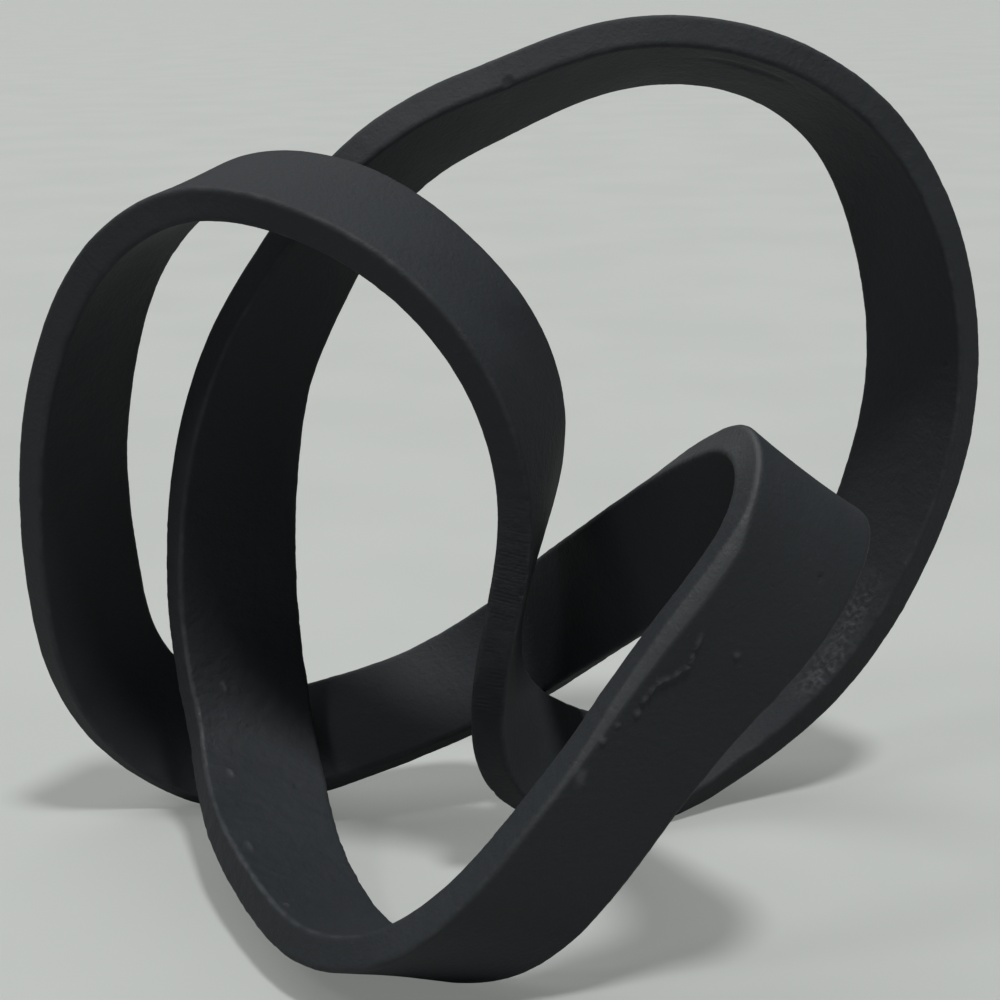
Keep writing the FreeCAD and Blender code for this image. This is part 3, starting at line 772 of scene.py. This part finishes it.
        point = sample(write.add("GeometryNodeInputPosition").outputs[0])
        out = sample(write.named("mark_out", "FLOAT_VECTOR"))
        way = sample(write.named("mark_way", "FLOAT_VECTOR"))
        radius, stretch, relief = write.parts(sample(write.named("mark_size", "FLOAT_VECTOR")))
        kind = write.parts(sample(write.named("mark_kind", "FLOAT_VECTOR")))[0]
        offset = write.vector("SUBTRACT", where, point)
        along = write.measure("DOT_PRODUCT", offset, way)
        beside = write.vector("SUBTRACT", offset, write.scaled(way, along))
        squeezed = write.vector("ADD", beside, write.scaled(way, write.math("DIVIDE", along, stretch)))
        away = write.math("DIVIDE", write.measure("LENGTH", squeezed), radius)

        def is_kind(mark: Mark) -> bpy.types.NodeSocket:
            """One where the mark is of a kind, else nought."""
            return write.math("COMPARE", kind, float(mark.value), 0.1)

        ragged = write.swing(where, self.RAGGED_PER_METRE, 3.0)
        ragged = write.product(ragged, self.RAGGED_SHARE)
        away = write.total(away, write.product(ragged, is_kind(Mark.RAGGED)))
        shape = write.ramp(away, 1.0, 0.25)
        facing = write.ramp(write.measure("DOT_PRODUCT", outward, out), 0.2, 0.7)
        wobble = write.product(write.noise(where, self.WOBBLES_PER_METRE, 2.0), self.STROKE_WOBBLE)
        strokes = write.math("SINE", write.total(write.product(along, self.STROKES_PER_METRE), wobble))
        pull = write.scaled(way, write.product(along, self.GRIT_PULL))
        pulled = write.vector("ADD", write.vector("SUBTRACT", offset, pull), point)
        grit = write.math("ABSOLUTE", write.swing(pulled, self.GRIT_PER_METRE, 1.0))
        crests = write.ramp(grit, 0.22, 0.03)
        plain = write.total(is_kind(Mark.SMOOTH), is_kind(Mark.RAGGED))
        texture = write.total(
            plain,
            write.product(is_kind(Mark.FILED), strokes),
            write.product(is_kind(Mark.GROUND), crests),
        )
        cover = write.product(shape, facing)
        height = write.product(relief, write.product(texture, cover))
        write.feed(end.inputs["Relief"], write.total(start.outputs["Relief"], height))
        # Raised smooth and ragged marks get pale tops, partly worn tips and partly painted highlight.
        raised = write.product(plain, write.math("GREATER_THAN", relief, 0.0))
        ground = write.product(is_kind(Mark.GROUND), crests, self.GRIT_SHINE)
        bared_and_highlight = write.product(write.total(ground, raised), cover)
        write.feed(end.inputs["Bared"], write.total(start.outputs["Bared"], bared_and_highlight))
        return end.outputs["Relief"], end.outputs["Bared"]

    def build(self) -> None:
        """Write the sweep, the surface work and the finish."""
        write, given = self.write, self.given
        spine = write.add("GeometryNodeMeshToCurve", {0: given["Geometry"]}).outputs[0]
        swept = write.add(
            "GeometryNodeCurveToMesh",
            {"Curve": spine, "Profile Curve": self.section(), "Fill Caps": True},
        ).outputs[0]
        outline = write.parts(write.named("outline", "FLOAT_VECTOR"))
        middle, side, face = (write.named(name, "FLOAT_VECTOR") for name in ("middle", "side", "face"))
        along, dress = write.named("along"), write.named("dress")
        which_edge = write.math("SIGN", outline[0])
        edge_line = write.combine(along, write.product(which_edge, self.EDGES_APART), given["Seed"])
        long_wave = write.swing(edge_line, self.LONG_WAVES_PER_METRE, 1.0)
        short_wave = write.swing(edge_line, self.SHORT_WAVES_PER_METRE, 2.0)
        short_wave = write.product(short_wave, self.SHORT_WAVE_SHARE)
        wave = write.product(write.total(long_wave, short_wave), given["Edge Wave"])
        half_width = write.total(write.named("half_width"), wave)
        half_base = write.product(given["Ribbon Width"], 0.5)
        half_thickness = write.product(given["Ribbon Thickness"], 0.5)
        across, out_across = self.stretched(outline[0], half_base, half_width)
        through, out_through = self.stretched(outline[1], half_thickness, half_thickness)
        outward = write.vector("ADD", write.scaled(side, out_across), write.scaled(face, out_through))
        across, through, polish = self.softened(outline, across, through, half_width, half_thickness)
        plain = write.vector("ADD", write.scaled(side, across), write.scaled(face, through))
        plain = write.vector("ADD", middle, plain)
        lumps = write.product(write.swing(plain, self.LUMPS_PER_METRE, 2.0), given["Lump Height"])
        rough_places = write.noise(plain, self.ROUGH_PLACES_PER_METRE, 1.0)
        rough_places = write.ramp(rough_places, 0.35, 0.65, 0.35, 1.3)
        grain = write.swing(plain, self.GRAINS_PER_METRE, 3.0, 0.6)
        grain = write.product(grain, given["Grain Height"], rough_places)
        worked = write.product(write.total(lumps, grain), dress)
        coarse = write.swing(plain, self.COARSE_PER_METRE, 3.0, 0.6)
        coarse = write.product(coarse, given["Coarse Height"], write.named("coarse"))
        marked, bared_and_highlight = self.marks(plain, outward)
        relief = write.total(worked, coarse, marked, write.named("sink"))
        placed = write.vector("ADD", plain, write.scaled(outward, relief))
        x, y, z = write.parts(placed)
        placed = write.combine(x, y, write.math("MAXIMUM", z, 0.0))
        skin = write.add("GeometryNodeSetPosition", {"Geometry": swept, "Position": placed}).outputs[0]
        corner = write.math("ABSOLUTE", write.product(out_across, out_through))
        on_near_edge = write.math("LESS_THAN", outline[0], 0.0)
        in_front = write.math("GREATER_THAN", outline[1], 0.0)
        # Painted highlight: a pale line along the near edge's front corner where the rings ask for it,
        # laid into the edge attribute and as beads.
        corner_highlight_mask = write.product(write.named("corner_shine"), on_near_edge, in_front)
        wear_and_highlight = write.product(write.ramp(corner, 0.12, 0.5), write.total(corner_highlight_mask, self.PLAIN_WEAR))
        skin = write.store(skin, "edge_wear", wear_and_highlight)
        # Painted highlight on the near edge strip where the rings ask for it.
        highlit_edge = write.product(write.named("edge_shine"), write.ramp(out_across, -0.3, -0.8))
        highlight_beads = write.product(write.ramp(corner, 0.2, 0.5), write.product(corner_highlight_mask, self.BEAD_HIGHLIGHT))
        skin = write.store(skin, "polish", write.total(polish, bared_and_highlight, highlit_edge, highlight_beads))
        for name in self.HELPERS:
            skin = write.add("GeometryNodeRemoveAttribute", {"Geometry": skin, "Name": name}).outputs[0]
        skin = write.add("GeometryNodeSetShadeSmooth", {"Geometry": skin}).outputs[0]
        skin = write.add("GeometryNodeRealizeInstances", {"Geometry": skin}).outputs[0]
        skin = write.add("GeometryNodeSetMaterial", {"Geometry": skin, "Material": given["Finish"]})
        write.add("NodeGroupOutput", {"Geometry": skin.outputs[0]})

    def apply(self, piece: bpy.types.Object, values: dict[str, Any]) -> bpy.types.Object:
        """Sweep a row of rings and bake the result to a plain mesh.

        Args:
            piece: Object whose mesh is the row of rings.
            values: The tree's inputs by name.

        Returns:
            The same object with the skin as its mesh.
        """
        modifier = piece.modifiers.new(self.NAME, "NODES")
        modifier.node_group = self.tree
        for item in self.tree.interface.items_tree:
            if item.item_type == "SOCKET" and item.in_out == "INPUT" and item.name in values:
                modifier[item.identifier] = values[item.name]
        return bake(piece)


def bake(piece: bpy.types.Object) -> bpy.types.Object:
    """Turn a piece with modifiers into one with a plain mesh, its faces pointing outwards.

    Args:
        piece: The piece.

    Returns:
        The same piece.
    """
    evaluated = piece.evaluated_get(bpy.context.evaluated_depsgraph_get())
    mesh = bpy.data.meshes.new_from_object(evaluated)
    piece.modifiers.clear()
    piece.data = mesh
    mesh.name = piece.name
    shape = bmesh.new()
    shape.from_mesh(mesh)
    if shape.calc_volume(signed=True) < 0:
        bmesh.ops.reverse_faces(shape, faces=shape.faces)
    shape.to_mesh(mesh)
    shape.free()
    return piece


def new_object(name: str, mesh: bpy.types.Mesh) -> bpy.types.Object:
    """Put a mesh in the scene under a name."""
    thing = bpy.data.objects.new(name, mesh)
    bpy.context.scene.collection.objects.link(thing)
    return thing


def point_cloud(name: str, points: np.ndarray, edges: list[tuple[int, int]],
                numbers: dict[str, np.ndarray]) -> bpy.types.Object:
    """Mesh of points with numbers and vectors stored on them.

    Args:
        name: Name of the object.
        points: The points.
        edges: Pairs of points that are joined.
        numbers: What is stored on the points, by name.

    Returns:
        The object.
    """
    mesh = bpy.data.meshes.new(name)
    mesh.from_pydata(points.tolist(), edges, [])
    for label, values in numbers.items():
        vector = values.ndim == 2
        kind = "FLOAT_VECTOR" if vector else "FLOAT"
        stored = mesh.attributes.new(label, kind, "POINT")
        stored.data.foreach_set("vector" if vector else "value", values.astype(np.float32).ravel())
    return new_object(name, mesh)


def hand_over(piece: bpy.types.Object, node: str) -> None:
    """Let a finished piece ride on the body and stand for its solid."""
    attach(piece, BODY)
    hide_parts(node)
    log.info("%s: %d faces", piece.name, len(piece.data.polygons))


@dataclass
class RibbonWorks:
    """What every piece of ribbon shares: the path, the skin's tree, the joints and the finish."""

    path: RibbonPath
    skin: RibbonSkin
    finishes: dict[Metal, bpy.types.Material]
    joints: tuple[float, ...]
    ring_step: float = 0.42 * MM
    points_round: int = 140
    lump_height: float = 0.16 * MM
    grain_height: float = 0.08 * MM
    coarse_height: float = 0.30 * MM
    edge_wave: float = 0.34 * MM
    seed: float = 3.0
    dressed_share: float = 0.85
    # Radius of the rounded corner along the path, in rows and millimetres; its painted highlight ridge
    # follows it.
    rounded_highlit_corner: tuple[tuple[float, float], ...] = (
        (38.0, 1.0), (39.8, 1.6), (40.9, 2.8), (41.8, 3.2), (42.6, 2.8), (43.0, 1.4), (43.6, 1.0),
        (47.0, 1.0),
    )
    # Where a painted highlight line runs along the near edge's front corner, in rows and strength.
    highlit_corner: tuple[tuple[float, float], ...] = (
        (31.2, 0.0), (31.9, 2.6), (35.0, 2.2), (35.9, 0.0)
    )
    # Where the near edge strip is painted pale as a highlight, in rows and strength.
    highlit_edge_course: tuple[tuple[float, float], ...] = (
        (42.6, 0.0), (43.2, 0.5), (45.0, 1.0), (46.8, 0.8), (47.6, 0.0)
    )
    coarse_places: tuple[tuple[float, float], ...] = (
        (16.0, 0.0), (17.5, 0.5), (22.0, 0.3), (25.0, 0.0), (30.0, 0.1), (31.5, 0.9), (35.0, 1.0),
        (36.3, 0.3), (37.0, 0.0),
    )
    dressed_start: float = 2.0 * MM
    dressed_reach: float = 7.0 * MM

    def from_joint(self, distances: np.ndarray) -> np.ndarray:
        """How far each distance along the path is from the nearest joint."""
        lap = self.path.knots[-1]
        joints = np.array([self.path.distance(place) for place in self.joints]) % lap
        gaps = np.abs(distances[:, None] % lap - joints[None, :])
        return np.minimum(gaps, lap - gaps).min(axis=1)

    def along_path(self, course: tuple[tuple[float, float], ...], distances: np.ndarray) -> np.ndarray:
        """Values at some distances, from pairs of a place in rows and the value there."""
        knots = self.path.knots
        places = np.interp(distances % knots[-1], knots, np.arange(len(knots)))
        return np.interp(places, *zip(*course))

    def sweep(self, name: str, distances: np.ndarray, lift: np.ndarray,
              metal: Metal) -> bpy.types.Object:
        """Make the skin of one stretch of the ribbon.

        Args:
            name: Name of the piece.
            distances: The rings' distances.
            lift: How far each ring's skin is lifted, less than nought where it is sunk.
            metal: Kind of metal.

        Returns:
            The piece.
        """
        rings = self.path.rings(distances)
        count = len(distances)
        past = self.from_joint(distances) - self.dressed_start
        ease = np.clip(past / self.dressed_reach, 0, 1)
        dress = self.dressed_share + (1 - self.dressed_share) * ease * ease * (3 - 2 * ease)
        numbers = {
            "middle": rings.middle,
            "side": rings.side,
            "face": rings.face,
            "half_width": rings.half_width,
            "along": distances,
            "dress": dress,
            "coarse": self.along_path(self.coarse_places, distances),
            "sink": lift,
            # The last three rows say where the corner is rounded, where a painted highlight line runs
            # and where the edge strip is painted as a highlight.
            "soft_radius": self.along_path(self.rounded_highlit_corner, distances) * MM,
            "corner_shine": self.along_path(self.highlit_corner, distances),
            "edge_shine": self.along_path(self.highlit_edge_course, distances),
        }
        edges = [(index, index + 1) for index in range(count - 1)]
        piece = point_cloud(name, rings.middle, edges, numbers)
        marks = self.marks_on(name, distances)
        piece = self.skin.apply(
            piece,
            {
                "Ribbon Width": self.path.ribbon_width,
                "Ribbon Thickness": self.path.ribbon_thickness,
                "Edge Radius": self.path.edge_radius,
                "Points Round": self.points_round,
                "Lump Height": self.lump_height,
                "Grain Height": self.grain_height,
                "Coarse Height": self.coarse_height,
                "Edge Wave": self.edge_wave,
                "Seed": self.seed,
                "Marks": marks,
                "Finish": self.finishes[metal],
            },
        )
        bpy.data.objects.remove(marks)
        return piece

    def marks_on(self, name: str, distances: np.ndarray) -> bpy.types.Object:
        """The marks that reach a stretch of the ribbon, as points.

        Args:
            name: Name of the piece.
            distances: Distances of its rings.

        Returns:
            An object with one point for each mark.
        """
        lap = self.path.knots[-1]
        seats = []
        for mark in MARKS:
            reach = mark.radius * mark.stretch * MM + self.path.ribbon_thickness
            gaps = np.abs((distances - self.path.distance(mark.place) + lap / 2) % lap - lap / 2)
            if gaps.min() < reach:
                seats.append(mark.seat(self.path))
        for scar in SCARS:
            gaps = [abs(distances - self.path.distance(place)).min() for place, _ in scar.points]
            if min(gaps) < self.path.ribbon_thickness:
                seats += scar.seats(self.path)
        points = np.array([seat["point"] for seat in seats]).reshape(-1, 3)
        numbers = {
            label: np.array([seat[label] for seat in seats]).reshape(-1, 3)
            for label in ("mark_out", "mark_way", "mark_size", "mark_kind")
        }
        return point_cloud(f"{name}_marks", points, [], numbers)


@dataclass
class KnotPiece:
    """A piece of the knot, named after the solid that it stands for."""

    METAL: ClassVar[Metal] = Metal.WELD
    name: str

    def dress(self, piece: bpy.types.Object) -> None:
        """Hand the finished piece over."""
        hand_over(piece, self.name)


@dataclass
class CastLength(KnotPiece):
    """One cast length of the ribbon, stepped in under the seam at each end."""

    METAL: ClassVar[Metal] = Metal.CASTING
    first: float
    last: float
    lip: float = 1.1 * MM
    step_in: float = 0.45 * MM
    slope: float = 0.25 * MM

    def build(self, works: RibbonWorks) -> bpy.types.Object:
        """Sweep the length from joint to joint.

        Args:
            works: The shared path, skin and finishes.

        Returns:
            The piece.
        """
        start, end = works.path.distance(self.first), works.path.distance(self.last)
        count = round((end - start) / works.ring_step)
        distances = np.linspace(start, end, count)
        shoulders = []
        for joint, way in ((start, 1), (end, -1)):
            shoulders += [joint + way * (self.lip - self.slope), joint + way * self.lip]
        distances = np.sort(np.concatenate([distances, shoulders]))
        inside = np.clip((self.lip - works.from_joint(distances)) / self.slope, 0, 1)
        return works.sweep(f"cast_{self.name}", distances, -self.step_in * inside, self.METAL)


@dataclass
class WeldSeam(KnotPiece):
    """The ring of weld metal over a joint, dressed flush."""

    place: float
    half_length: float = 1.9 * MM
    proud: float = 0.03 * MM
    ring_count: int = 15

    def build(self, works: RibbonWorks) -> bpy.types.Object:
        """Sweep the seam over its joint.

        Args:
            works: The shared path, skin and finishes.

        Returns:
            The piece.
        """
        joint = works.path.distance(self.place)
        start, end = joint - self.half_length, joint + self.half_length
        distances = np.linspace(start, end, self.ring_count)
        away = np.abs(distances - joint) / self.half_length
        lift = self.proud * (1 - 2 * away * away)
        return works.sweep(f"dressed_{self.name}", distances, lift, self.METAL)


@dataclass
class CrossingWeld(KnotPiece):
    """Weld metal that runs two strands into each other where they cross."""

    first: float
    second: float
    radius: float
    reach: float = 9.0 * MM
    hidden: float = 0.30 * MM
    voxel: float = 0.42 * MM
    softening: int = 34
    softening_share: float = 0.5
    block_rings: int = 24

    def block(self, works: RibbonWorks, place: float) -> tuple[np.ndarray, list[list[int]]]:
        """Plain short stretch of a strand, a little thinner than the strand itself.

        Args:
            works: The shared path.
            place: Its middle in rows of the path.

        Returns:
            Its points and faces.
        """
        path = works.path
        middle = path.distance(place)
        distances = np.linspace(middle - self.reach, middle + self.reach, self.block_rings)
        rings = path.rings(distances)
        half_thickness = path.ribbon_thickness / 2 - self.hidden
        inset = 1 - self.hidden / rings.half_width.mean()
        corners = ((-1, -1), (1, -1), (1, 1), (-1, 1))
        rows = [rings.surface(across * inset, through, half_thickness) for across, through in corners]
        points = np.stack(rows, axis=1).reshape(-1, 3)
        faces = [[0, 3, 2, 1]]
        for ring in range(len(rings.middle) - 1):
            low = 4 * ring
            for corner in range(4):
                after = (corner + 1) % 4
                faces.append([low + corner, low + after, low + after + 4, low + corner + 4])
        top = 4 * (len(rings.middle) - 1)
        faces.append([top, top + 1, top + 2, top + 3])
        return points, faces

    def build(self, works: RibbonWorks) -> bpy.types.Object:
        """Join both strands and a drop of metal, and let the hollow between them fill.

        Args:
            works: The shared path and finishes.

        Returns:
            The piece.
        """
        shape = bmesh.new()
        low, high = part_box(self.name)
        centre = (Vector(low) + Vector(high)) / 2
        for place in (self.first, self.second):
            points, faces = self.block(works, place)
            corners = [shape.verts.new(point) for point in points]
            for face in faces:
                shape.faces.new([corners[index] for index in face])
        bmesh.ops.create_icosphere(
            shape, subdivisions=4, radius=self.radius, matrix=Matrix.Translation(centre)
        )
        bmesh.ops.recalc_face_normals(shape, faces=shape.faces)
        mesh = bpy.data.meshes.new(self.name)
        shape.to_mesh(mesh)
        shape.free()
        piece = new_object(f"filled_{self.name}", mesh)
        remesh = piece.modifiers.new("remesh", "REMESH")
        remesh.mode = "VOXEL"
        remesh.voxel_size = self.voxel
        smooth = piece.modifiers.new("smooth", "SMOOTH")
        smooth.factor = self.softening_share
        smooth.iterations = self.softening
        piece = bake(piece)
        self.trim(piece, centre)
        piece.data.materials.clear()
        piece.data.materials.append(works.finishes[self.METAL])
        piece.data.shade_smooth()
        return piece

    def trim(self, piece: bpy.types.Object, centre: Vector) -> None:
        """Keep only what is near the weld, closed again inside the strands."""
        shape = bmesh.new()
        shape.from_mesh(piece.data)
        far = [vert for vert in shape.verts if (vert.co - centre).length > self.reach]
        bmesh.ops.delete(shape, geom=far, context="VERTS")
        edges = [edge for edge in shape.edges if edge.is_boundary]
        bmesh.ops.holes_fill(shape, edges=edges, sides=0)
        bmesh.ops.recalc_face_normals(shape, faces=shape.faces)
        shape.to_mesh(piece.data)
        shape.free()


# Each cast length with the place where it starts, in rows of the path, and the seam at its start.
LENGTHS = [
    ("crown", 5.0, "seam_left_shoulder"),
    ("central_strand", 9.5, "seam_crown_end"),
    ("right_loop_foot", 12.1, "seam_central_lower"),
    ("right_loop_side", 17.6, "seam_right_lower"),
    ("right_loop_top", 21.6, "seam_right_top"),
    ("middle_strand", 25.0, "seam_top_left"),
    ("front_foot", 34.2, "seam_middle_lower"),
    ("front_strand", 40.4, "seam_front_lower"),
    ("hairpin", 43.3, "seam_front_upper"),
    ("back_leg", 47.3, "seam_hairpin_back"),
    ("back_strand", 50.8, "seam_back_leg"),
    ("left_loop_side", 53.4, "seam_left_lower"),
]


@dataclass
class KnotSculpture:
    """The whole knot: cast lengths, the seams between them, and the welds at two crossings."""

    casting: CoatedMetal = CoatedMetal(Metal.CASTING.value)
    weld: CoatedMetal = CoatedMetal(Metal.WELD.value, grain_height=0.19 * MM)
    crossings: tuple[CrossingWeld, ...] = (
        CrossingWeld("curl_weld", 13.65, 49.85, 3.6 * MM),
        CrossingWeld("crossing_weld", 33.05, 52.9, 2.6 * MM),
    )

    def parts(self) -> list[KnotPiece]:
        """All the pieces in their order along the path, and the crossings after them."""
        parts = []
        for index, (name, first, seam) in enumerate(LENGTHS):
            last = LENGTHS[(index + 1) % len(LENGTHS)][1]
            if last < first:
                last += len(PATH_SHARES)
            parts += [WeldSeam(seam, first), CastLength(name, first, last)]
        return parts + list(self.crossings)

    def build(self) -> None:
        """Make, dress and report every piece."""
        finishes = {Metal.CASTING: self.casting.material(), Metal.WELD: self.weld.material()}
        joints = tuple(first for _, first, _ in LENGTHS)
        works = RibbonWorks(RibbonPath(), RibbonSkin(), finishes, joints)
        for part in self.parts():
            part.dress(part.build(works))


@dataclass(frozen=True)
class Lamp:
    """A soft lamp so far off that it lights everything evenly from one direction."""

    name: str
    azimuth: float
    height: float
    spread: float
    strength: float

    def hang(self) -> None:
        """Point the lamp at the knot from its azimuth (0 is in front, 90 on the right)."""
        data = bpy.data.lights.new(self.name, "SUN")
        data.angle = math.radians(self.spread)
        data.energy = self.strength
        lamp = bpy.data.objects.new(self.name, data)
        turned, lifted = math.radians(self.azimuth), math.radians(self.height)
        flat = math.cos(lifted)
        away = Vector((flat * math.sin(turned), -flat * math.cos(turned), math.sin(lifted)))
        lamp.location = away
        lamp.rotation_euler = (-away).to_track_quat("-Z", "Y").to_euler()
        bpy.context.scene.collection.objects.link(lamp)
        log.info("%s hung", self.name)


@dataclass
class Studio:
    """Pale floor that runs out of sight, pale surroundings and soft lamps."""

    floor_half: float = 40.0
    surround: float = 0.02
    wall: tuple[float, float, float] = (0.52, 0.54, 0.52)
    lamps: tuple[Lamp, ...] = (
        Lamp("key_lamp", 28.0, 70.0, 7.0, 2.9),
        Lamp("side_lamp", -54.0, 50.0, 12.0, 0.55),
        Lamp("front_lamp", -15.0, 12.0, 60.0, 0.32),
        Lamp("back_lamp", -140.0, 65.0, 60.0, 1.5),
    )

    def build(self) -> None:
        """Lay the floor, set the surroundings and hang the lamps."""
        self.lay_floor()
        self.set_surroundings()
        for lamp in self.lamps:
            lamp.hang()

    def lay_floor(self) -> None:
        """A large flat floor under the knot."""
        half = self.floor_half
        corners = [(-half, -half, 0), (half, -half, 0), (half, half, 0), (-half, half, 0)]
        mesh = bpy.data.meshes.new("floor")
        mesh.from_pydata(corners, [], [(0, 1, 2, 3)])
        mesh.materials.append(PaleFloor().material())
        floor = new_object("floor", mesh)
        log.info("floor laid")

    def set_surroundings(self) -> None:
        """As pale as the floor to the camera, and dim as light on the knot."""
        world = bpy.data.worlds.new("surroundings")
        world.use_nodes = True
        bpy.context.scene.world = world
        tree = world.node_tree
        tree.nodes.clear()
        write = NodeWriter(tree)
        seen = write.add("ShaderNodeLightPath").outputs["Is Camera Ray"]
        lamp = write.add("ShaderNodeBackground", {"Color": (1, 1, 1, 1), "Strength": self.surround})
        wall = write.add("ShaderNodeBackground", {"Color": (*self.wall, 1.0), "Strength": 1.0})
        mixed = write.add("ShaderNodeMixShader", {0: seen, 1: lamp.outputs[0], 2: wall.outputs[0]})
        write.add("ShaderNodeOutputWorld", {"Surface": mixed.outputs[0]})


@dataclass
class Viewpoint:
    """Camera at the photograph's place, height and field of view."""

    # A scratch program printed the place, the target and the roll, from a camera matched by eye.
    place: tuple[float, float, float] = (0.69 * MM, -360.70 * MM, 182.80 * MM)
    target: tuple[float, float, float] = (-1.02 * MM, 3.41 * MM, 81.29 * MM)
    roll: float = -0.946
    lens: float = 68.4
    sensor_width: float = 36.0
    nearest: float = 10.0 * MM

    def build(self) -> None:
        """Put the camera up."""
        data = bpy.data.cameras.new("camera")
        data.lens = self.lens
        data.sensor_width = self.sensor_width
        data.clip_start = self.nearest
        camera = bpy.data.objects.new("camera", data)
        place = Vector(self.place)
        turn = (Vector(self.target) - place).to_track_quat("-Z", "Y").to_matrix()
        turn = turn @ Matrix.Rotation(math.radians(self.roll), 3, "Z")
        camera.matrix_world = Matrix.Translation(place) @ turn.to_4x4()
        bpy.context.scene.collection.objects.link(camera)
        bpy.context.scene.camera = camera
        log.info("camera up")


def main() -> None:
    """Build the knot, the studio and the camera."""
    logging.basicConfig(level=logging.INFO, format="%(name)s %(message)s")
    bpy.context.scene.view_settings.view_transform = "Standard"
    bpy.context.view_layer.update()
    KnotSculpture().build()
    Studio().build()
    Viewpoint().build()
    bpy.context.view_layer.update()


if __name__ == "__main__":
    main()
